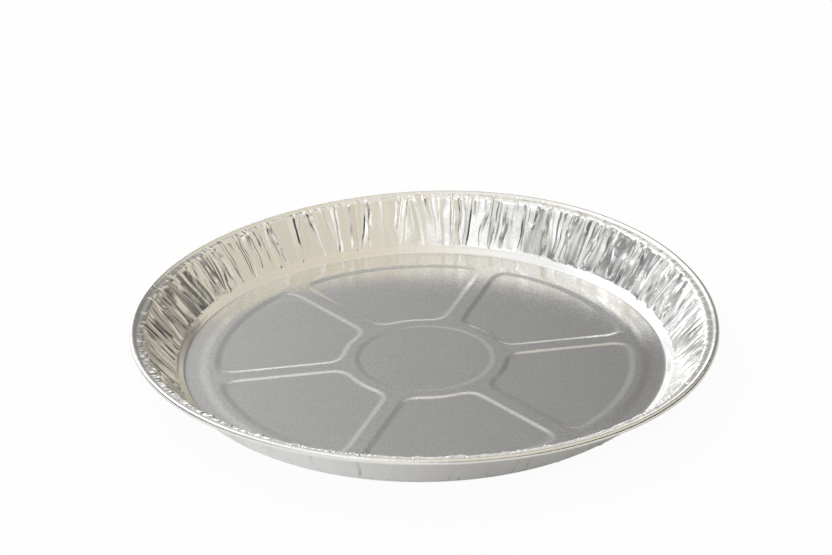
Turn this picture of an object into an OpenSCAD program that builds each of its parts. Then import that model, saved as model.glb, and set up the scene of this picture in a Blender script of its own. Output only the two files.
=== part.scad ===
// Shallow round foil pie tin pressed from one sheet, with a pleated wall, a rolled rim and a ribbed floor.
// The origin is on the table under the middle of the tin, with Z up. Sizes are in millimetres.

/* [Overall] */
// Diameter over the rolled rim
rim_d = 280; // [200:5:340]
// Height of the rim's top above the table, on average round the rim
rim_h = 23.6; // [15:0.5:40]
// Diameter of the floor, up to where the foot starts to rise
floor_d = 230.8; // [150:1:280]
// Thickness of the foil
foil_t = 0.1; // [0.08:0.01:0.2]

/* [Rim] */
// Width of the rim from the top of the wall to its outer edge
rim_w = 5.4; // [4.5:0.1:8]
// Diameter of the rolled edge
bead_d = 2.9; // [2:0.1:4]
// How far the flat of the rim lies below the top of the rolled edge
rim_dish = 0.85; // [0.3:0.05:1.5]
// Height of the bend between the wall and the rim
shoulder_h = 1.1; // [0.6:0.1:2]
// How far the rim rises at two opposite sides and drops at the two between
rim_sag = 2.1; // [0:0.1:4]
// Direction of the first raised side, anticlockwise from the right
sag_turn = 67; // [0:1:180]
// A smaller rise and drop of the rim, three times round it
rim_wave = 0.5; // [0:0.1:1.5]
// Direction of the first low place of that smaller wave
wave_turn = -14; // [-60:1:60]

/* [Foot and wall] */
// Height of the narrow ledge on top of the foot
ledge_h = 2.45; // [1.6:0.05:4]
// Width of the foot from the edge of the floor to the outside of its ledge
foot_w = 3; // [2:0.1:5]
// Depth of the deepest pleats in the wall
pleat_depth = 0.75; // [0:0.05:1.2]
// Width of a pleat under the rim
pleat_w = 2.4; // [1:0.1:3.5]
// Share of the pleats that run from the rim down to the foot
long_pleats = 0.55; // [0:0.05:1]
// How far a pleat may lean sideways between foot and rim
pleat_lean = 1.6; // [0:0.1:3]

/* [Floor] */
// Number of raised spokes in the floor
spoke_count = 6; // [4:1:8]
// Direction of the first spoke, anticlockwise from the right
spoke_turn = 10; // [0:1:60]
// Width of a spoke halfway up its sides
spoke_w = 9; // [5:0.5:14]
// How far the spokes and rings stand above the flat panels and hub
rib_h = 0.55; // [0.2:0.05:1.2]
// Width of the slope at the side of a spoke or ring
slope_w = 1.6; // [0.8:0.1:2.5]
// Diameter of the flat hub in the middle
hub_d = 64.8; // [40:1:90]
// Width of the raised ring round the hub
hub_ring_w = 7; // [5:0.5:12]
// Width of the raised ring outside the panels, out to the end of its soft outer slope
outer_ring_w = 9; // [6:0.2:14]
// Width of the flat border between that ring and the foot
border_w = 7; // [4:0.5:14]
// Corner radius at the wide end of a panel
wide_corner_r = 7; // [3:0.5:12]
// Corner radius at the narrow end of a panel
narrow_corner_r = 4.5; // [2:0.5:7]

/* [Hidden] */
// Radii of the floor pattern
floor_r = floor_d / 2;
border_r = floor_r - border_w;
panel_out_r = border_r - outer_ring_w;
hub_r = hub_d / 2;
panel_in_r = hub_r + hub_ring_w;
// The outer ring is flat over its inner part and then falls softly to the border
ring_flat_share = 0.42;
ring_flat_r = panel_out_r + outer_ring_w * ring_flat_share;
hub_ring_mid_r = hub_r + hub_ring_w / 2;

// Steps round the tin and along each panel's outline
ring_step_target = 96;
hub_step_target = 48;
arc_steps = floor(ring_step_target / spoke_count);
hub_arc_steps = floor(hub_step_target / spoke_count);
ring_steps = arc_steps * spoke_count;
hub_steps = hub_arc_steps * spoke_count;
corner_half = 2;
corner_steps = 2 * corner_half;
straight_steps = 2;
side_steps = corner_steps + straight_steps;
side_points = side_steps - 1;
outline_steps = 2 * side_steps + arc_steps + hub_arc_steps;
sector = 360 / spoke_count;
ring_step = 360 / ring_steps;

// Section of the rim
rim_r = rim_d / 2;
bead_r = bead_d / 2;
bead_mid = [rim_r - bead_r, rim_h - bead_r];
bead_start = 150;
bead_turn = 310;
bead_steps = 7;
rim_in = [rim_r - rim_w, rim_h - rim_dish];
shoulder_w = shoulder_h * 1.2;

// Section of the foot: the sheet bends up from the table and turns out into the ledge
foot_bend = 0.3;
foot_side = 0.65;
foot_start = [floor_r - 0.3 * foot_w, foil_t];
foot_low = [floor_r + 0.2 * foot_w, foil_t + ledge_h * foot_bend];
foot_high = [floor_r + foot_side * foot_w, foil_t + ledge_h * 0.8];
ledge = [floor_r + foot_w, foil_t + ledge_h];

// The wall runs straight from the ledge to the shoulder
wall_top = rim_in - [shoulder_w, shoulder_h];
wall_run = wall_top - ledge;
wall_out = [wall_run.y, -wall_run.x] / norm(wall_run);
wall_low_t = 0.07;
wall_mid_t = 0.55;

// One section of the sheet's upper side, from the outer ring of the floor to the end of the rolled edge
section = concat(
    [
        [ring_flat_r, foil_t + rib_h],
        [border_r, foil_t],
        foot_start,
        foot_low,
        foot_high,
        ledge,
        ledge + wall_low_t * wall_run,
        ledge + wall_mid_t * wall_run,
        wall_top,
        rim_in
    ],
    [for (i = [0:bead_steps]) bead_point(bead_start - bead_turn * i / bead_steps)]
);
row_count = len(section);
low_row = 6;
top_row = 8;
rim_row = 9;

// How much of the rim's rise and drop each row takes, and how much of a pleat's depth
row_lift = [0, 0, 0, 0, 0, 0, wall_low_t, wall_mid_t, 1];
pleat_share = [0, 0, 0, 0, 0, 0, 0.3, 0.8, 1, 0.3];
short_share = [0, 0, 0, 0, 0, 0, 0, 0.25, 1, 0.4];
width_share = [0, 0, 0, 0, 0, 0, 0.35, 0.6, 1];

// Each pleat has its own depth, place, lean and width
pleats = ring_steps;
pleat_steps = 3;
pleat_kind = rands(0, 1, pleats, 11);
pleat_size = rands(0.35, 1, pleats, 23);
pleat_side = rands(-1, 1, pleats, 37);
pleat_shift = rands(-0.2, 0.2, pleats, 41);
pleat_slant = rands(-1, 1, pleats, 53);
pleat_spread = rands(0.6, 1, pleats, 67);
inward_share = 0.45;
edge_share = 0.25;

function bead_point(a) = bead_mid + bead_r * [cos(a), sin(a)];

function unit(v) = v / norm(v);

function left_of(v) = [-v.y, v.x];

// Direction in which the sheet's upper side faces at a row of the section, lengthened at bends
function facing(row) =
    row == 0 ? [0, 1] :
    row == row_count - 1 ? unit(section[row] - bead_mid) :
    let (
        before = unit(left_of(section[row] - section[row - 1])),
        after = unit(left_of(section[row + 1] - section[row])),
        middle = unit(before + after)
    )
    row <= 2 ? [0, 1] : middle / max(0.5, middle * before);

function rim_rise(a) = rim_sag * cos(2 * (a - sag_turn)) - rim_wave * cos(3 * (a - wave_turn));

function lift(row) = row < rim_row ? row_lift[row] : 1;

function pleat_amount(row, i) =
    let (share = pleat_kind[i] < long_pleats ? pleat_share[row] : short_share[row])
    let (way = pleat_side[i] < 2 * inward_share - 1 ? -1 : 1)
    pleat_depth * pleat_size[i] * share * way;

// A point of the sheet: row of the section, angle, push along the wall's outward normal, and side
function sheet_point(row, a, push, under) =
    let (
        place = section[row] - under * foil_t * facing(row) + push * wall_out,
        z = place.y + rim_rise(a) * lift(row)
    )
    [place.x * cos(a), place.x * sin(a), z];

function coarse_angle(i) = spoke_turn + i * ring_step;

function coarse_row(row, under) =
    [for (i = [0:ring_steps - 1])
        sheet_point(row, coarse_angle(i), row == rim_row ? pleat_amount(row, i) : 0, under)];

// Three points for each pleat: its two edges and the crease between them
function pleated_row(row, under) =
    let (degrees = 180 / (PI * section[row].x))
    [for (i = [0:pleats - 1])
        let (
            amount = pleat_amount(row, i),
            slant = pleat_slant[i] * pleat_lean * (lift(row) - 0.5) * degrees,
            middle = coarse_angle(i) + pleat_shift[i] * ring_step + slant,
            reach = pleat_spread[i] * pleat_w / 2 * width_share[row] * degrees
        )
        for (k = [-1:1])
            sheet_point(row, middle + k * reach, k == 0 ? amount : -amount * edge_share, under)];

// Outline of one panel, moved inwards by inset, with the first spoke along X.
// Step 0 is the middle of the first narrow corner, and the steps run out along the first spoke.
function panel_half(u, inset) =
    let (
        side = spoke_w / 2 + inset,
        wide_r = panel_out_r - inset,
        narrow_r = panel_in_r + inset,
        wide_c = wide_corner_r - inset,
        narrow_c = narrow_corner_r - inset,
        wide_a = asin((side + wide_c) / (wide_r - wide_c)),
        narrow_a = asin((side + narrow_c) / (narrow_r + narrow_c)),
        wide_mid = (wide_r - wide_c) * [cos(wide_a), sin(wide_a)],
        narrow_mid = (narrow_r + narrow_c) * [cos(narrow_a), sin(narrow_a)],
        wide_start = corner_half + straight_steps,
        wide_end = wide_start + corner_steps,
        half = sector / 2
    )
    u < -corner_half ?
        let (share = (-corner_half - u) / (hub_arc_steps / 2 - corner_half))
        let (a = narrow_a + (half - narrow_a) * share)
        narrow_r * [cos(a), sin(a)] :
    u < corner_half ?
        let (a = 180 + narrow_a + (90 - narrow_a) * (u + corner_half) / corner_steps)
        narrow_mid + narrow_c * [cos(a), sin(a)] :
    u < wide_start ?
        let (share = (u - corner_half) / straight_steps)
        [narrow_mid.x + (wide_mid.x - narrow_mid.x) * share, side] :
    u < wide_end ?
        let (a = 270 + (90 + wide_a) * (u - wide_start) / corner_steps)
        wide_mid + wide_c * [cos(a), sin(a)] :
        let (share = (u - wide_end) / (arc_steps / 2 - corner_half))
        let (a = wide_a + (half - wide_a) * share)
        wide_r * [cos(a), sin(a)];

// The second half of the outline mirrors the first
function panel_point(j, inset) =
    let (
        first_end = side_steps + arc_steps / 2,
        last_start = outline_steps - hub_arc_steps / 2
    )
    j <= first_end ? panel_half(j, inset) :
    j >= last_start ? panel_half(j - outline_steps, inset) :
    let (
        p = panel_half(2 * side_steps + arc_steps - j, inset),
        a = sector - atan2(p.y, p.x)
    )
    norm(p) * [cos(a), sin(a)];

function turned(p, a, z) = [p.x * cos(a) - p.y * sin(a), p.x * sin(a) + p.y * cos(a), z];

function circle_points(r, z, steps) =
    [for (i = [0:steps - 1])
        let (a = spoke_turn + 360 * i / steps)
        [r * cos(a), r * sin(a), z]];

// Points of one side of the sheet, from the hub out to the end of the rolled edge
function side_of_sheet(under) =
    let (
        low = foil_t * (1 - under),
        high = low + rib_h,
        panel_mid_r = (panel_in_r + panel_out_r) / 2,
        panel_mid = panel_mid_r * [cos(sector / 2), sin(sector / 2)]
    )
    concat(
        [[0, 0, low]],
        circle_points(hub_r - slope_w / 2, low, hub_steps),
        circle_points(hub_r + slope_w / 2, high, hub_steps),
        circle_points(hub_ring_mid_r, high, hub_steps),
        [for (k = [0:spoke_count - 1])
            for (j = [1:side_points])
                turned([panel_point(j, -slope_w / 2).x, 0], spoke_turn + k * sector, high)],
        [for (k = [0:spoke_count - 1])
            let (a = spoke_turn + k * sector)
            each concat(
                [turned(panel_mid, a, low)],
                [for (j = [0:outline_steps - 1]) turned(panel_point(j, slope_w / 2), a, low)],
                [for (j = [0:outline_steps - 1]) turned(panel_point(j, -slope_w / 2), a, high)]
            )],
        [for (row = [0:row_count - 1])
            each is_pleated(row) ? pleated_row(row, under) : coarse_row(row, under)]
    );

function is_pleated(row) = row >= low_row && row <= top_row;

function row_steps(row) = is_pleated(row) ? pleats * pleat_steps : ring_steps;

// Where each group of points starts in that list
hub_top_at = 1;
hub_foot_at = hub_top_at + hub_steps;
hub_ring_at = hub_foot_at + hub_steps;
spoke_at = hub_ring_at + hub_steps;
panels_at = spoke_at + spoke_count * side_points;
panel_size = 1 + 2 * outline_steps;
rows_at = panels_at + spoke_count * panel_size;

function row_at(row) = row == 0 ? rows_at : row_at(row - 1) + row_steps(row - 1);

side_size = row_at(row_count - 1) + ring_steps;

function ring(start, steps) = [for (i = [0:steps - 1]) start + i];

// The points round one spoke-to-spoke cell of the floor, in step with a panel's outline
function cell_outline(k) =
    let (
        next = (k + 1) % spoke_count,
        out_end = (k + 1) * arc_steps,
        hub_end = (k + 1) * hub_arc_steps
    )
    concat(
        [hub_ring_at + k * hub_arc_steps],
        [for (j = [0:side_points - 1]) spoke_at + k * side_points + j],
        [for (i = [k * arc_steps:out_end]) rows_at + i % ring_steps],
        [for (j = [0:side_points - 1]) spoke_at + next * side_points + side_points - 1 - j],
        [for (i = [0:hub_arc_steps - 1]) hub_ring_at + (hub_end - i) % hub_steps]
    );

// Triangles between an inner and an outer ring of points, seen from above
function strip(inner, outer) =
    let (n = len(inner))
    [for (i = [0:n - 1])
        let (j = (i + 1) % n)
        each [[inner[i], inner[j], outer[j]], [inner[i], outer[j], outer[i]]]];

function fan(centre, outer) =
    let (n = len(outer))
    [for (i = [0:n - 1]) [centre, outer[(i + 1) % n], outer[i]]];

// Triangles between a plain row and a pleated one, which has three points for each of its own
function widening(plain, pleated, pleated_outside) =
    let (
        n = len(plain),
        m = len(pleated)
    )
    [for (i = [0:n - 1])
        let (
            a = plain[i],
            b = plain[(i + 1) % n],
            p = [for (k = [1:4]) pleated[(pleat_steps * i + k) % m]],
            tris = [[a, p[1], p[0]], [a, b, p[1]], [b, p[2], p[1]], [b, p[3], p[2]]]
        )
        each pleated_outside ? tris : [for (t = tris) [t[0], t[2], t[1]]]];

function between_rows(row) =
    let (
        inner = ring(row_at(row), row_steps(row)),
        outer = ring(row_at(row + 1), row_steps(row + 1))
    )
    is_pleated(row) == is_pleated(row + 1) ? strip(inner, outer) :
    is_pleated(row) ? widening(outer, inner, false) : widening(inner, outer, true);

upper_faces = concat(
    fan(0, ring(hub_top_at, hub_steps)),
    strip(ring(hub_top_at, hub_steps), ring(hub_foot_at, hub_steps)),
    strip(ring(hub_foot_at, hub_steps), ring(hub_ring_at, hub_steps)),
    [for (k = [0:spoke_count - 1])
        let (
            start = panels_at + k * panel_size,
            top = ring(start + 1, outline_steps),
            foot = ring(start + 1 + outline_steps, outline_steps)
        )
        each concat(fan(start, top), strip(top, foot), strip(foot, cell_outline(k)))],
    [for (row = [0:row_count - 2]) each between_rows(row)]
);

// The pie tin is one closed skin: the sheet's upper side, its underside and the cut edge inside the roll
module pie_tin() {
    last_ring = ring(row_at(row_count - 1), ring_steps);
    last_under = [for (i = last_ring) i + side_size];
    lower_faces = [for (f = upper_faces) [f[0] + side_size, f[2] + side_size, f[1] + side_size]];
    color([0.78, 0.78, 0.76])
        polyhedron(
            points = concat(side_of_sheet(0), side_of_sheet(1)),
            faces = concat(upper_faces, lower_faces, strip(last_ring, last_under)),
            convexity = 6
        );
}

pie_tin();
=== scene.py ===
import math
import random

import bmesh
import bpy
from mathutils import Matrix, Vector, noise


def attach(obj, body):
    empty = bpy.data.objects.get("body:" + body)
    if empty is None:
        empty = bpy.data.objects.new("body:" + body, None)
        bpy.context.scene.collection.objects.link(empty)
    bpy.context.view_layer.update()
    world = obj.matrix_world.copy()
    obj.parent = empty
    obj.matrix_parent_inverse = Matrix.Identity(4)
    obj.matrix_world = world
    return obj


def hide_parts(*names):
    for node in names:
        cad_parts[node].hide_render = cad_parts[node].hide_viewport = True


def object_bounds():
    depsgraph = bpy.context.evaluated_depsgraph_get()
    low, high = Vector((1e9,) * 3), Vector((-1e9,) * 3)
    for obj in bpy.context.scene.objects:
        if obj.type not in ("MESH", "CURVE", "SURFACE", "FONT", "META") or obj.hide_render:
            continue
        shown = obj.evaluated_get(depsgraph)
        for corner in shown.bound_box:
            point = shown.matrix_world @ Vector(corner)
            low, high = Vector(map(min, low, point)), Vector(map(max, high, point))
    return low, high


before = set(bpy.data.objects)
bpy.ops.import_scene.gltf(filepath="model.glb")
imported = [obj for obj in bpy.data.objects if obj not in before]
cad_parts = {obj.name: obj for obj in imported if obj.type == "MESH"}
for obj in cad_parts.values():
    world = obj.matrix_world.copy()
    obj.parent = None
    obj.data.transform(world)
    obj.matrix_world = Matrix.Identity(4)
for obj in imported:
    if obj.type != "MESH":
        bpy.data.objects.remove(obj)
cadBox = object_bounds()
mm = 0.001
boxGap = 0.1  # millimetres that the rim stays inside the CAD box
print("frame loaded")

# Section of the tin, in millimetres out from its axis and up from the table
tinShape = {
    # Turns are degrees, and a curve is a list of shares of a width and a height
    "foil": 0.1,
    "rimRadius": cadBox[1].x / mm - boxGap,
    "rimHeight": 23.34,
    "rimWidth": 5.4,
    "rimDish": 1.1,
    "flatCurve": ((0.33, 0.3), (0.67, 0.63)),
    "rimDents": 0.1,
    "rimDentGrain": (75, 0.3),  # how close they lie, round the rim and across it
    "shoulderWidth": 1.25,
    "shoulderHeight": 0.6,
    "shoulderCurve": ((0.25, 0.38), (0.6, 0.72), (1.0, 1.0)),
    "beadRadius": 1.45,
    "beadStart": 150,
    "beadTurn": 310,
    "beadSteps": 10,
    "floorRadius": 115.2,
    "footStart": 0.1,  # how far inside the floor's edge the foot starts
    "footWidth": 3.2,
    "footCurve": (
        (0.0, 0.03), (0.1, 0.09), (0.25, 0.23), (0.42, 0.42),
        (0.6, 0.62), (0.78, 0.81), (0.92, 0.94),
    ),
    "ledgeHeight": 2.45,
    "wallShares": (0, 0.05, 0.12, 0.2, 0.3, 0.4, 0.5, 0.6, 0.7, 0.79, 0.87, 0.94, 1),
    "sag": 2.1,  # the rim rises at two sides and drops between them
    "sagTurn": 67,
    "sagRises": 2,
    "wave": 0.5,
    "waveTurn": -14,
    "waveRises": 3,
}


def rimRise(angle):
    shape = tinShape
    sag = shape["sag"] * math.cos(shape["sagRises"] * (angle - math.radians(shape["sagTurn"])))
    wave = shape["wave"] * math.cos(shape["waveRises"] * (angle - math.radians(shape["waveTurn"])))
    return sag - wave


def smooth(low, high, value):
    t = min(max((value - low) / (high - low), 0.0), 1.0)
    return t * t * (3 - 2 * t)


# Floor: a wheel of low ribs
floorShape = {
    "spokes": 6,
    "spokeTurn": 10,
    "spokeWidth": 9.0,
    "ribHeight": 0.3,
    "slope": 2.7,
    "outerSlope": 3.5,  # the panels slope more gently at their outer edge
    "straightShare": 0.6,  # the rest of a slope is rounded into the flats
    "hubRadius": 32.4,
    "hubRing": 7.0,
    "hubDrop": 0.62,  # the flat hub lies less deep than the panels
    "outerRing": 9.0,
    "ringFlat": 0.48,  # share of the outer ring, before it falls to the border
    "border": 7.0,
    "wideCorner": 7.0,
    "narrowCorner": 7.0,
    "sag": 0.12,  # slight unevenness of the flat sheet
    "sagGrain": 0.022,
    "sagEdge": (1, 20),  # inside the floor's edge: where it stops, and where it is full
    # Rings of the mesh: radii, distances beside a slope's middle, and rings on a slope
    "hubRings": (0, 8, 16, 23, 28, 30.4),
    "besideHub": (2.2, 4.8),
    "besideInner": (1.6, 2.6, 3.8, 5.2),
    "panelRings": (49, 55, 62, 70, 78, 84, 88),
    "besideOuter": (8.4, 7, 5.6, 4.4, 3.2, 2.2),
    "borderRings": (101, 102.4, 103.6, 104.6, 105.6, 106.6, 107.6, 108.6, 110.5, 112.6, 114.2),
    "slopeRings": 6,
    "slopeSpread": 1.08,
    # Steps of the mesh round one spoke, and how far from its middle the nearest lie
    "sectorSteps": 44,
    "besideSpoke": (0, 1.8, 2.75, 3.15, 3.6, 4.2, 4.8, 5.4, 5.9, 6.8, 8.2),
    "evenWithin": 20,  # inside this radius the steps are even
    "evenAgain": (102, 112),  # and from here they spread until they are even again
}
borderRadius = tinShape["floorRadius"] - floorShape["border"]
panelOuter = borderRadius - floorShape["outerRing"]
panelInner = floorShape["hubRadius"] + floorShape["hubRing"]


def roundedCorner(a, b, radius):
    # distance inside the corner of two edges that are a and b away
    if a < radius and b < radius:
        return radius - math.hypot(radius - a, radius - b)
    return min(a, b)


def insidePanel(r, turn):
    # millimetres inside the nearest panel's outline, negative on the ribs
    half = math.pi / floorShape["spokes"]
    away = half - abs(turn % (2 * half) - half)
    side = r * math.sin(away) - floorShape["spokeWidth"] / 2
    outer = (panelOuter - r) * floorShape["slope"] / floorShape["outerSlope"]
    wide = roundedCorner(side, outer, floorShape["wideCorner"])
    narrow = roundedCorner(side, r - panelInner, floorShape["narrowCorner"])
    return min(wide, narrow)


def ramp(low, high, value):
    # nearly straight, with slightly rounded ends
    t = min(max((value - low) / (high - low), 0.0), 1.0)
    straight = floorShape["straightShare"]
    return straight * t + (1 - straight) * smooth(0, 1, t)


def floorRelief(r, turn):
    half = floorShape["slope"] / 2
    panel = ramp(-half, half, insidePanel(r, turn))
    hub = floorShape["hubDrop"] * ramp(-half, half, floorShape["hubRadius"] - r)
    ringFlatEnd = panelOuter + floorShape["outerRing"] * floorShape["ringFlat"]
    border = ramp(ringFlatEnd, borderRadius, r)
    return floorShape["ribHeight"] * (1 - max(panel, hub, border))


def slopeRings(radius, width):
    count = floorShape["slopeRings"]
    return [radius + width * (i / (count - 1) - 0.5) for i in range(count)]


def floorRadii():
    shape = floorShape
    slope = shape["slope"] * shape["slopeSpread"]
    radii = list(shape["hubRings"])
    radii += slopeRings(shape["hubRadius"], slope)
    radii += [shape["hubRadius"] + x for x in shape["besideHub"]]
    radii += slopeRings(panelInner, slope)
    radii += [panelInner + x for x in shape["besideInner"]]
    radii += shape["panelRings"]
    radii += [panelOuter - x for x in shape["besideOuter"]]
    radii += slopeRings(panelOuter, shape["outerSlope"])
    radii += shape["borderRings"]
    return radii


def footPoints():
    shape = tinShape
    start = shape["floorRadius"] - shape["footStart"]
    return [(start + shape["footWidth"] * x, shape["ledgeHeight"] * z) for x, z in shape["footCurve"]]


# Wall and rim, from the ledge outwards
ledgePoint = Vector((tinShape["floorRadius"] + tinShape["footWidth"], tinShape["ledgeHeight"]))
rimInner = Vector((
    tinShape["rimRadius"] - tinShape["rimWidth"],
    tinShape["rimHeight"] - tinShape["rimDish"],
))
wallTop = rimInner - Vector((tinShape["shoulderWidth"], tinShape["shoulderHeight"]))
wallRun = wallTop - ledgePoint
wallOut = Vector((wallRun.y, -wallRun.x)).normalized()


def alongCurve(start, end, curve):
    run = end - start
    return [start + Vector((run.x * x, run.y * z)) for x, z in curve]


def beadPoints():
    shape = tinShape
    middle = Vector((shape["rimRadius"] - shape["beadRadius"], shape["rimHeight"] - shape["beadRadius"]))
    points = []
    for i in range(shape["beadSteps"] + 1):
        a = math.radians(shape["beadStart"] - shape["beadTurn"] * i / shape["beadSteps"])
        points.append(middle + shape["beadRadius"] * Vector((math.cos(a), math.sin(a))))
    return points


def wallAndRimPoints():
    bead = beadPoints()
    points = [ledgePoint + wallRun * t for t in tinShape["wallShares"]]
    points += alongCurve(wallTop, rimInner, tinShape["shoulderCurve"])
    points += alongCurve(rimInner, bead[0], tinShape["flatCurve"])
    return [tuple(p) for p in points + bead]


# Pleats: sharp folds up the wall, flat facets between them, and fine gathers under the rim
pleatShape = {
    # Places round the wall are shares of the gap between two folds, starts and rises are
    # shares of the wall's height, and widths and pushes are millimetres
    "folds": 118,
    "foldLines": 3,  # the two sides of a fold and its ridge or valley
    "gathers": 6,  # lines between two folds
    "seed": 12,
    "shift": 0.24,
    "lean": 0.42,
    "least": 0.16,  # smallest gap between two folds
    "wander": 0.2,
    "wanderGrain": (9.7, 2.6, 0.5),  # from fold to fold, up the wall, and which part of the noise
    "wanderEnds": (0.25, 0.3),
    "depth": 0.9,
    "depthSpans": ((0.25, 0.8), (0.3, 0.9), (0.3, 1)),  # at the foot, half way and the rim
    "mostLively": 1.2,
    "uneven": 0.7,  # how much a fold's depth changes along it
    "unevenGrain": (5.1, 3.4, 4),
    "width": 1.8,
    "footWidths": (0.2, 1.3),  # shares of the width
    "topWidths": (0.3, 1.4),
    "edgeShare": 0.36,  # of the gap beside a fold that one side of it takes at most
    "tip": 0.5,
    "facetPush": 0.42,
    "facetShares": (0.5, 0.9, 1),
    # Turn and reach in degrees, and how the folding changes there
    "lively": ((-12, 36, -0.6), (38, 34, 0.8), (80, 26, -0.4)),
    "shortShare": 0.25,  # of the folds that start above the foot
    "shortStart": (0.25, 0.7),
    "foldRise": 0.3,
    "footFade": (-0.02, 0.05),
    "foldFade": 0.5,  # millimetres below the top of the wall
    "gatherPush": 0.22,
    "gatherPower": 1.7,  # most gathers are shallow
    "gatherShift": 0.35,
    "gatherStart": (-0.6, 0.9),
    "gatherRise": 0.5,
    "gatherAtFoot": 0.5,
    "gatherFade": (0.3, 2.4),  # inside the rim's flat, and inside its outer edge
    "dent": 0.2,  # small dents where the gathers turn over into the rim
    "dentPower": 1.3,
    "dentRise": (1.2, 0.6),  # before and after the top of the wall
    "dentFade": (0.2, 2.7),
    "crease": 13,  # degrees, from which a bend is sharp
    "creaseRun": 0.3,  # shortest run up the wall of an edge that can be sharp
    "creaseZone": (0.1, 1),  # beyond the ledge and beyond the rim's inner edge
}
wallSteps = pleatShape["folds"] * (pleatShape["foldLines"] + pleatShape["gathers"])


def curveThrough(values, t):
    # a smooth curve through values at the foot, half way and the rim
    low, middle, high = values
    return low * (2 * t * t - 3 * t + 1) + middle * 4 * t * (1 - t) + high * (2 * t * t - t)


def livelyAt(turn):
    # how much the wall is folded there, where 1 is its usual folding
    lively = 1
    for middle, reach, change in pleatShape["lively"]:
        away = abs((turn - middle + 180) % 360 - 180)
        lively += change * (1 - smooth(reach / 2, reach, away))
    return lively


def makeFolds(dice):
    pleat = pleatShape
    folds = []
    for i in range(pleat["folds"]):
        middle = i + dice.uniform(-pleat["shift"], pleat["shift"])
        depth = pleat["depth"] * dice.choice((-1, 1))
        lively = livelyAt(i / pleat["folds"] * 360)
        facet = pleat["facetPush"] * lively
        depth *= min(lively, pleat["mostLively"])
        folds.append({
            "foot": middle + dice.uniform(-pleat["lean"], pleat["lean"]),
            "top": middle + dice.uniform(-pleat["lean"], pleat["lean"]),
            "footWidth": pleat["width"] * dice.uniform(*pleat["footWidths"]),
            "topWidth": pleat["width"] * dice.uniform(*pleat["topWidths"]),
            "depth": [depth * dice.uniform(*span) for span in pleat["depthSpans"]],
            "start": dice.uniform(*pleat["shortStart"]) if dice.random() < pleat["shortShare"] else -1,
            "tip": dice.uniform(-pleat["tip"], pleat["tip"]),
            "sides": [
                [facet * k * dice.uniform(-1, 1) for k in pleat["facetShares"]]
                for side in range(2)
            ],
        })
    for end in ("foot", "top"):
        for before, fold in zip(folds, folds[1:]):
            fold[end] = max(fold[end], before[end] + pleat["least"])
    return folds


def widenFolds(folds, gap):
    # the sides of a fold stand off its middle, but stay clear of the folds beside it
    pleat = pleatShape
    for i, fold in enumerate(folds):
        following = folds[(i + 1) % len(folds)]
        for end in ("foot", "top"):
            before = (fold[end] - folds[i - 1][end]) % pleat["folds"]
            after = (following[end] - fold[end]) % pleat["folds"]
            width = math.degrees(fold[end + "Width"] / tinShape["rimRadius"]) / gap
            fold[end + "Edge"] = min(width, before * pleat["edgeShare"], after * pleat["edgeShare"])


def foldLines(fold, number, gap):
    left, right = fold["sides"]
    between = [(a + b) / 2 + d for a, b, d in zip(left, right, fold["depth"])]
    made = []
    for side, push in ((-1, left), (fold["tip"], between), (1, right)):
        made.append({
            "foot": (fold["foot"] + side * fold["footEdge"]) * gap,
            "top": (fold["top"] + side * fold["topEdge"]) * gap,
            "push": push,
            "start": fold["start"] if push is between else -1,
            "gather": 0,
            "fold": number,
            "part": 0,
        })
    return made


def gatherLines(fold, following, number, gap, dice):
    pleat = pleatShape
    turn = 0 if number + 1 < pleat["folds"] else pleat["folds"]
    made = []
    for k in range(pleat["gathers"]):
        shift = dice.uniform(-pleat["gatherShift"], pleat["gatherShift"])
        part = (k + 1 + shift) / (pleat["gathers"] + 1)
        line = {"fold": number, "part": part}
        for end in ("foot", "top"):
            low = fold[end] + fold[end + "Edge"]
            high = following[end] - following[end + "Edge"] + turn
            line[end] = (low + (high - low) * part) * gap
        line["push"] = [a + (b - a) * part for a, b in zip(fold["sides"][1], following["sides"][0])]
        line["start"] = dice.uniform(*pleat["gatherStart"])
        size = pleat["gatherPush"] * dice.uniform(0, 1) ** pleat["gatherPower"]
        line["gather"] = size * dice.choice((-1, 1))
        made.append(line)
    return made


def wallLines(dice):
    # each line runs from the foot to the rim, and has its angles and pushes along the way
    gap = 360 / pleatShape["folds"]
    folds = makeFolds(dice)
    widenFolds(folds, gap)
    made = []
    for i, fold in enumerate(folds):
        following = folds[(i + 1) % len(folds)]
        made += foldLines(fold, i, gap)
        made += gatherLines(fold, following, i, gap, dice)
    for line in made:
        line["dent"] = pleatShape["dent"] * dice.uniform(0, 1) ** pleatShape["dentPower"]
    return made


lines = wallLines(random.Random(pleatShape["seed"]))


def wander(fold, t):
    # how far a fold strays sideways at a share of the wall's height
    pleat = pleatShape
    along, up, apart = pleat["wanderGrain"]
    low, high = pleat["wanderEnds"]
    spot = Vector((fold % pleat["folds"] * along, t * up, apart))
    return pleat["wander"] * noise.noise(spot) * smooth(0, low, t) * smooth(0, high, 1 - t)


def wallPush(line, t):
    # millimetres that the fold and the gather move the wall along its outward normal
    pleat = pleatShape
    fold = curveThrough(line["push"], t)
    if line["part"] == 0:
        along, up, apart = pleat["unevenGrain"]
        fold *= 1 + pleat["uneven"] * noise.noise(Vector((line["fold"] * along, t * up, apart)))
        if line["start"] >= 0:
            fold *= smooth(line["start"], line["start"] + pleat["foldRise"], t)
    gather = line["gather"] * smooth(line["start"], line["start"] + pleat["gatherRise"], t)
    return fold, gather * (pleat["gatherAtFoot"] + (1 - pleat["gatherAtFoot"]) * t)


def rimDent(line, r):
    before, after = pleatShape["dentRise"]
    inner, outer = pleatShape["dentFade"]
    dent = line["dent"] * smooth(wallTop.x - before, wallTop.x + after, r)
    return dent * (1 - smooth(rimInner.x - inner, tinShape["rimRadius"] - outer, r))


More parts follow.
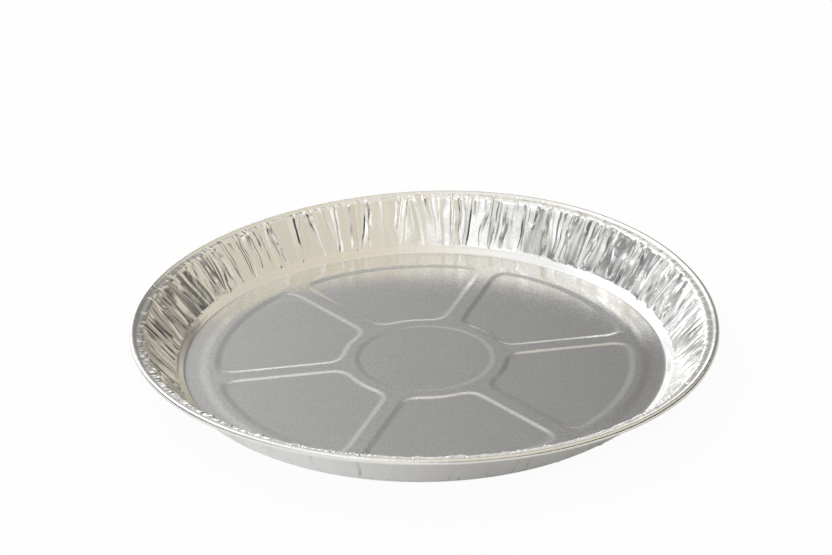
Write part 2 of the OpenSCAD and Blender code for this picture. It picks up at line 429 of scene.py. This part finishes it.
def placeFloor(r, turn, z):
    shape = floorShape
    stop, full = shape["sagEdge"]
    spot = Vector((r * math.cos(turn), r * math.sin(turn), 0))
    uneven = shape["sag"] * noise.noise(spot * shape["sagGrain"])
    uneven *= smooth(0, full, tinShape["floorRadius"] - r)
    relief = floorRelief(r, turn - math.radians(shape["spokeTurn"]))
    rise = relief + abs(uneven) if r < tinShape["floorRadius"] - stop else 0
    return (spot.x, spot.y, z + rise)


rounding = 0.0001  # millimetres


def placeWall(r, line, z):
    pleat = pleatShape
    onWall = r <= wallTop.x + rounding
    t = min(max((z - ledgePoint.y) / wallRun.y, 0), 1) if onWall else 1
    turn = math.radians(line["foot"] + (line["top"] - line["foot"]) * t)
    aside = wander(line["fold"], t) * (1 - line["part"]) + wander(line["fold"] + 1, t) * line["part"]
    turn += aside * 2 * math.pi / pleat["folds"]
    fold, gather = wallPush(line, t)
    dents = 0
    if onWall:
        fold *= smooth(*pleat["footFade"], t)
    else:
        inner, outer = pleat["gatherFade"]
        around, across = tinShape["rimDentGrain"]
        fold *= 1 - smooth(wallTop.x - pleat["foldFade"], rimInner.x, r)
        gather *= 1 - smooth(rimInner.x - inner, tinShape["rimRadius"] - outer, r)
        spot = Vector((math.cos(turn), math.sin(turn), 0)) * around + Vector((0, 0, r * across))
        dents = tinShape["rimDents"] * noise.noise(spot)
    push = fold + gather
    x = r + wallOut.x * push
    lift = z + wallOut.y * push + dents - rimDent(line, r) + rimRise(turn) * t
    return (x * math.cos(turn), x * math.sin(turn), lift)


def floorTurn(step, r):
    # how far round a step lies at a radius: close together along the sides of a spoke
    near = floorShape["besideSpoke"]
    steps = floorShape["sectorSteps"] // 2
    half = math.pi / floorShape["spokes"]
    sector, place = divmod(step, 2 * steps)
    mirrored = place > steps
    place = 2 * steps - place if mirrored else place
    even = half * place / steps
    if r < floorShape["evenWithin"]:
        turn = even
    else:
        last = math.asin(near[-1] / r)
        if place < len(near):
            turn = math.asin(near[place] / r)
        else:
            turn = last + (half - last) * (place - len(near) + 1) / (steps - len(near) + 1)
        turn += (even - turn) * smooth(*floorShape["evenAgain"], r)
    turn = 2 * half - turn if mirrored else turn
    return turn + sector * 2 * half + math.radians(floorShape["spokeTurn"])


# Sheet of the tin, spun in two parts, with its distances in millimetres
mergeReach = 0.0005
jointReach = 0.05


def spinSection(sheet, points, steps, start):
    # a chain of edges spun once round the tin's axis
    c, s = math.cos(start), math.sin(start)
    chain = [sheet.verts.new((x * c, x * s, z)) for x, z in points]
    edges = [sheet.edges.new(pair) for pair in zip(chain, chain[1:])]
    bmesh.ops.spin(
        sheet, geom=chain + edges, cent=(0, 0, 0), axis=(0, 0, 1),
        angle=2 * math.pi, steps=steps, use_merge=True, use_duplicate=False,
    )


def stepRound(v, start, steps):
    return round((math.atan2(v.co.y, v.co.x) - start) / (2 * math.pi) * steps) % steps


def openEdges(sheet, radius):
    return [
        e for e in sheet.edges
        if e.is_boundary and all(abs(v.co.xy.length - radius) < jointReach for v in e.verts)
    ]


def makeFloor(sheet):
    start = math.radians(floorShape["spokeTurn"])
    steps = floorShape["sectorSteps"] * floorShape["spokes"]
    spinSection(sheet, [(r, 0) for r in floorRadii()] + footPoints(), steps, start)
    bmesh.ops.remove_doubles(sheet, verts=sheet.verts, dist=mergeReach)
    for v in sheet.verts:
        r = v.co.xy.length
        v.co = placeFloor(r, floorTurn(stepRound(v, start, steps), r), v.co.z)


def makeWall(sheet):
    floorVerts = set(sheet.verts)
    spinSection(sheet, wallAndRimPoints(), wallSteps, 0)
    joint = openEdges(sheet, footPoints()[-1][0]) + openEdges(sheet, ledgePoint.x)
    bmesh.ops.bridge_loops(sheet, edges=joint)
    for v in sheet.verts:
        if v not in floorVerts:
            v.co = placeWall(v.co.xy.length, lines[stepRound(v, 0, wallSteps)], v.co.z)


def faceUpwards(sheet):
    bmesh.ops.recalc_face_normals(sheet, faces=sheet.faces)
    if min(sheet.faces, key=lambda f: f.calc_center_median().length).normal.z < 0:
        bmesh.ops.reverse_faces(sheet, faces=sheet.faces)


def sharpenFolds(sheet):
    # strong bends that run up the wall are sharp, and everything else is smooth
    pleat = pleatShape
    low, high = pleat["creaseZone"]
    for e in sheet.edges:
        r = [v.co.xy.length for v in e.verts]
        onWall = ledgePoint.x - low < min(r) and max(r) < rimInner.x + high
        upward = abs(r[0] - r[1]) > pleat["creaseRun"]
        bend = math.degrees(e.calc_face_angle(0))
        e.smooth = not (onWall and upward and bend > pleat["crease"])


def meshFrom(sheet, name):
    mesh = bpy.data.meshes.new(name)
    sheet.to_mesh(mesh)
    sheet.free()
    return mesh


def addObject(name, data):
    made = bpy.data.objects.new(name, data)
    bpy.context.collection.objects.link(made)
    return made


def makeTin():
    sheet = bmesh.new()
    makeFloor(sheet)
    makeWall(sheet)
    faceUpwards(sheet)
    sharpenFolds(sheet)
    bmesh.ops.translate(sheet, verts=sheet.verts, vec=(0, 0, tinShape["foil"]))
    bmesh.ops.scale(sheet, verts=sheet.verts, vec=(mm, mm, mm))
    mesh = meshFrom(sheet, "foilTin")
    for face in mesh.polygons:
        face.use_smooth = True
    tin = addObject("foilTin", mesh)
    thicken = tin.modifiers.new("foilThickness", "SOLIDIFY")
    thicken.thickness = tinShape["foil"] * mm
    thicken.offset = -1
    return tin


# Materials are written as sums on wrapped sockets
class Wire:
    def __init__(self, shader, socket):
        self.shader = shader
        self.socket = socket

    def maths(self, operation, a, b):
        return self.shader.add("ShaderNodeMath", {"operation": operation}, {0: a, 1: b})

    def __add__(self, other):
        return self.maths("ADD", self, other)

    def __radd__(self, other):
        return self.maths("ADD", other, self)

    def __sub__(self, other):
        return self.maths("SUBTRACT", self, other)

    def __rsub__(self, other):
        return self.maths("SUBTRACT", other, self)

    def __mul__(self, other):
        return self.maths("MULTIPLY", self, other)

    def __rmul__(self, other):
        return self.maths("MULTIPLY", other, self)

    def __pow__(self, other):
        return self.maths("POWER", self, other)


class Shader:
    def __init__(self, tree):
        self.tree = tree
        self.tree.nodes.clear()

    def add(self, kind, settings=None, inputs=None, output=0):
        node = self.tree.nodes.new(kind)
        for name, value in (settings or {}).items():
            setattr(node, name, value)
        for name, value in (inputs or {}).items():
            if isinstance(value, Wire):
                self.tree.links.new(value.socket, node.inputs[name])
            else:
                node.inputs[name].default_value = value
        return Wire(self, node.outputs[output]) if len(node.outputs) else node

    def vector(self, operation, *values, output="Vector"):
        return self.add("ShaderNodeVectorMath", {"operation": operation}, dict(enumerate(values)), output)

    def step(self, value, low, high):
        return self.add(
            "ShaderNodeMapRange", {"interpolation_type": "SMOOTHSTEP"},
            {"Value": value, "From Min": low, "From Max": high},
        )

    def blend(self, share, a, b):
        return self.add("ShaderNodeMix", {"data_type": "RGBA"}, {0: share, 6: a, 7: b}, 2)

    def stretchedNoise(self, grain, place):
        scale, detail = grain
        spread = self.add("ShaderNodeMapping", None, {"Vector": place, "Scale": scale})
        return self.add("ShaderNodeTexNoise", None, {"Vector": spread, "Scale": 1.0, "Detail": detail})

    def light(self, colour, strength=1.0):
        return self.add("ShaderNodeBackground", None, {"Color": colour, "Strength": strength})


# Rolled foil, with its depths and edges in metres
foilFinish = {
    # A grain is how fine its noise is in each direction, and the noise's detail
    "colour": (0.93, 0.925, 0.91, 1),
    "dull": (0.77, 0.765, 0.75, 1),
    "wallEdge": (0.1145, 0.1165),  # radii where the floor's finish fades into the wall's
    "rimEdge": (0.1325, 0.1345),
    "floorRoughness": 0.09,
    "wallRoughness": 0.1,
    "patches": ((60, 260, 60), 3.0),
    "patchRoughness": 0.08,
    "mottle": (2.2, 0.5),  # how much streaks and patches dull the floor
    "grain": ((400, 14000, 14000), 0.0),
    "grainDepth": 0.0000105,
    "streaks": ((850, 1000, 850), 2.0),
    "streakDepth": 0.000006,
    "crinkle": ((420, 420, 160), 3.0),
    "crinkleDepth": 0.00007,
    # painted shade: how much the wall's colour follows the crinkle noise that also makes its bumps
    "crinklePaintedShade": 0.4,
    "speckle": (0.00002, 0.00007),  # on the wall, and what the rim has besides
    "radial": ((170, 170, 170), 2.0),
    "radialDepth": 0.00005,
    "radialOnWall": 0.35,
}


def foilMaterial():
    f = foilFinish
    material = bpy.data.materials.new("rolledFoil")
    material.use_nodes = True
    s = Shader(material.node_tree)
    place = s.add("ShaderNodeTexCoord", output="Object")
    flat = s.vector("MULTIPLY", place, (1, 1, 0))
    radius = s.vector("LENGTH", flat, output="Value")
    around = s.vector("NORMALIZE", flat)
    wall = s.step(radius, *f["wallEdge"])
    rim = s.step(radius, *f["rimEdge"])
    grain = s.stretchedNoise(f["grain"], place)
    streaks = s.stretchedNoise(f["streaks"], place)
    patches = s.stretchedNoise(f["patches"], place) - 0.5
    crinkle = s.stretchedNoise(f["crinkle"], place)
    radial = s.stretchedNoise(f["radial"], around)
    roughness = f["floorRoughness"] + (f["wallRoughness"] - f["floorRoughness"]) * wall
    roughness = roughness + patches * f["patchRoughness"]
    ofStreaks, ofPatches = f["mottle"]
    mottle = (streaks - 0.5) * ofStreaks + patches * ofPatches
    # painted shade on the wall, where the colour follows the crinkles; on the floor the streaks and
    # patches are the foil's own mottle
    mottleAndPaintedShade = mottle * (1 - wall) + (crinkle - 0.5) * wall * f["crinklePaintedShade"] + 0.5
    colour = s.blend(mottleAndPaintedShade, f["colour"], f["dull"])
    rolled = grain * f["grainDepth"] + streaks * f["streakDepth"]
    onWall, onRim = f["speckle"]
    creased = crinkle * f["crinkleDepth"] + radial * (f["radialOnWall"] + rim) * f["radialDepth"]
    creased = creased + streaks * (onWall + rim * onRim)
    height = rolled * (1 - wall) + creased * wall
    bump = s.add("ShaderNodeBump", None, {"Height": height, "Strength": 1.0, "Distance": 1.0})
    foil = s.add(
        "ShaderNodeBsdfPrincipled", None,
        {"Base Color": colour, "Metallic": 1.0, "Roughness": roughness, "Normal": bump},
    )
    s.add("ShaderNodeOutputMaterial", None, {"Surface": foil})
    return material


tin = makeTin()
tin.data.materials.append(foilMaterial())
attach(tin, "root")
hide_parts("pie_tin")
print("tin made:", len(tin.data.polygons), "faces before thickness")

# Studio: pale table, bright ceiling over dark walls, and a white window low on the left behind
studio = {
    # Edges of the ceiling, the near wall and the strip are parts of a direction's length of 1
    "tableSize": 12,
    "tableDrop": 0.02,  # millimetres
    "tableColour": (0.93, 0.93, 0.93, 1),
    "whiteness": 0.95,
    "mirroredWhiteness": (0.1, 0.55),  # on the right, and on the left, where the extra white is painted light
    "paintedLightTurn": (0.04, -0.08),  # metres across the table where the painted light changes
    "leftCeiling": (0.97, 0.985, 1.0, 1),
    "rightCeiling": (0.71, 0.67, 0.57, 1),
    "ceilingTurn": (-0.5, 0.35),
    "ceilingEdge": (0.56, 0.73),
    "ceilingRise": (0.12, 0.75, 0.22),  # the edge comes down on the right: from, to and how much
    "walls": (0.065, 0.065, 0.068, 1),
    "nearWall": (0.8, 0.8, 0.79, 1),
    "nearAim": (-0.6, -0.8, 0),
    "nearEdge": (0.6, 0.9),
    "strip": (0.42, 0.42, 0.41, 1),  # low bright strip beside the window
    "stripTop": (0.3, 0.25),
    "stripSides": ((-0.18, -0.12), (0.14, 0.08)),
    "windowSize": (2.6, 0.44),
    "windowPlace": (-1.44, 2.0, 0.22),
    "windowAim": (0, -1, 0),
    "windowLight": 1.25,
}
# Softer lights around the tin: turn and height in degrees, how tight, and colour
glows = (
    (112, 5, 18, (0.6, 0.605, 0.61, 1)),
    (98, 6, 50, (0.2, 0.2, 0.2, 1)),
    (128, 30, 20, (1.35, 1.35, 1.35, 1)),
    (95, 30, 25, (0.25, 0.25, 0.25, 1)),
    (142, 38, 30, (1.6, 1.6, 1.6, 1)),
    (-75, 15, 10, (0.4, 0.39, 0.37, 1)),
    (-128, 48, 22, (0.35, 0.35, 0.34, 1)),
    (58, 5, 14, (0.42, 0.38, 0.31, 1)),
    (157, 22, 200, (1.0, 1.0, 1.0, 1)),
    (-178, 26, 90, (1.1, 1.1, 1.1, 1)),
    (0, 85, 6, (0.12, 0.09, 0.05, 1)),
)


def tableMaterial():
    # painted light: what the foil mirrors of the table grows whiter to the left, standing in for light
    # falling from the left
    material = bpy.data.materials.new("whiteTable")
    material.use_nodes = True
    s = Shader(material.node_tree)
    paint = s.add("ShaderNodeBsdfDiffuse", None, {"Color": studio["tableColour"]})
    white = s.add("ShaderNodeEmission", None, {"Color": (1, 1, 1, 1), "Strength": 1.0})
    seen = s.add("ShaderNodeLightPath", output="Is Camera Ray")
    mirrored = s.add("ShaderNodeLightPath", output="Is Glossy Ray")
    through = s.add("ShaderNodeLightPath", output="Is Transmission Ray")
    place = s.add("ShaderNodeTexCoord", output="Object")
    across = s.add("ShaderNodeSeparateXYZ", None, {0: place}, "X")
    # painted light: the white that the foil mirrors rises from the right's share to the left's
    paintedLightLeftwards = s.step(across, *studio["paintedLightTurn"])
    least, most = studio["mirroredWhiteness"]
    share = seen * studio["whiteness"] + (mirrored + through) * (least + paintedLightLeftwards * (most - least))
    both = s.add("ShaderNodeMixShader", None, {0: share, 1: paint, 2: white})
    s.add("ShaderNodeOutputMaterial", None, {"Surface": both})
    return material


def makeTable():
    sheet = bmesh.new()
    bmesh.ops.create_grid(sheet, x_segments=1, y_segments=1, size=studio["tableSize"])
    bmesh.ops.translate(sheet, verts=sheet.verts, vec=(0, 0, -studio["tableDrop"] * mm))
    mesh = meshFrom(sheet, "table")
    mesh.materials.append(tableMaterial())
    return addObject("table", mesh)


def makeSurround():
    world = bpy.data.worlds.new("studio")
    world.use_nodes = True
    bpy.context.scene.world = world
    s = Shader(world.node_tree)
    way = s.add("ShaderNodeTexCoord", output="Generated")
    across = s.add("ShaderNodeSeparateXYZ", None, {0: way}, "X")
    height = s.add("ShaderNodeSeparateXYZ", None, {0: way}, "Z")
    rightwards = s.step(across, *studio["ceilingTurn"])
    ceiling = s.blend(rightwards, studio["leftCeiling"], studio["rightCeiling"])
    low, high, rise = studio["ceilingRise"]
    edge = height + s.step(across, low, high) * rise
    toward = s.vector("DOT_PRODUCT", way, studio["nearAim"], output="Value")
    sides = s.blend(s.step(toward, *studio["nearEdge"]), studio["walls"], studio["nearWall"])
    light = s.light(s.blend(s.step(edge, *studio["ceilingEdge"]), sides, ceiling))
    left, right = studio["stripSides"]
    share = s.step(height, *studio["stripTop"]) * s.step(across, *left) * s.step(across, *right)
    parts = [s.light(studio["strip"], share)]
    for turn, up, tightness, colour in glows:
        turn, up = math.radians(turn), math.radians(up)
        aim = (math.cos(turn) * math.cos(up), math.sin(turn) * math.cos(up), math.sin(up))
        facing = s.vector("DOT_PRODUCT", way, aim, output="Value")
        strength = s.add("ShaderNodeMath", {"operation": "MAXIMUM"}, {0: facing, 1: 0.0}) ** tightness
        parts.append(s.light(colour, strength))
    for part in parts:
        light = s.add("ShaderNodeAddShader", None, {0: light, 1: part})
    s.add("ShaderNodeOutputWorld", None, {"Surface": light})


def makeWindow():
    wide, high = studio["windowSize"]
    lamp = bpy.data.lights.new("window", "AREA")
    lamp.shape = "RECTANGLE"
    lamp.size = wide
    lamp.size_y = high
    lamp.energy = studio["windowLight"] * math.pi * wide * high
    holder = addObject("window", lamp)
    holder.location = studio["windowPlace"]
    holder.rotation_euler = Vector(studio["windowAim"]).to_track_quat("-Z", "Y").to_euler()


makeTable()
makeSurround()
makeWindow()
print("studio set")

# Camera, at the photograph's angle
cameraSetting = {
    "focalPixels": 2603.95,
    "widthPixels": 832,
    "sensor": 36,
    "distance": 1.22935,
    "elevation": 26.5,
    "roll": -0.89,
    "target": (-0.00366, 0, 0.04326),
    "clip": (0.05, 60),
}


def makeCamera():
    c = cameraSetting
    up, tilt = math.radians(c["elevation"]), math.radians(c["roll"])
    forward = Vector((0, math.cos(up), -math.sin(up)))
    right = Vector((1, 0, 0))
    over = right.cross(forward)
    side = right * math.cos(tilt) + over * math.sin(tilt)
    top = over * math.cos(tilt) - right * math.sin(tilt)
    camera = bpy.data.cameras.new("camera")
    camera.sensor_width = c["sensor"]
    camera.lens = c["focalPixels"] / c["widthPixels"] * c["sensor"]
    camera.clip_start, camera.clip_end = c["clip"]
    holder = addObject("camera", camera)
    turn = Matrix((side, top, -forward)).transposed().to_4x4()
    holder.matrix_world = Matrix.Translation(Vector(c["target"]) - forward * c["distance"]) @ turn
    bpy.context.scene.camera = holder


makeCamera()
bpy.context.scene.view_settings.view_transform = "Standard"
print("camera set")
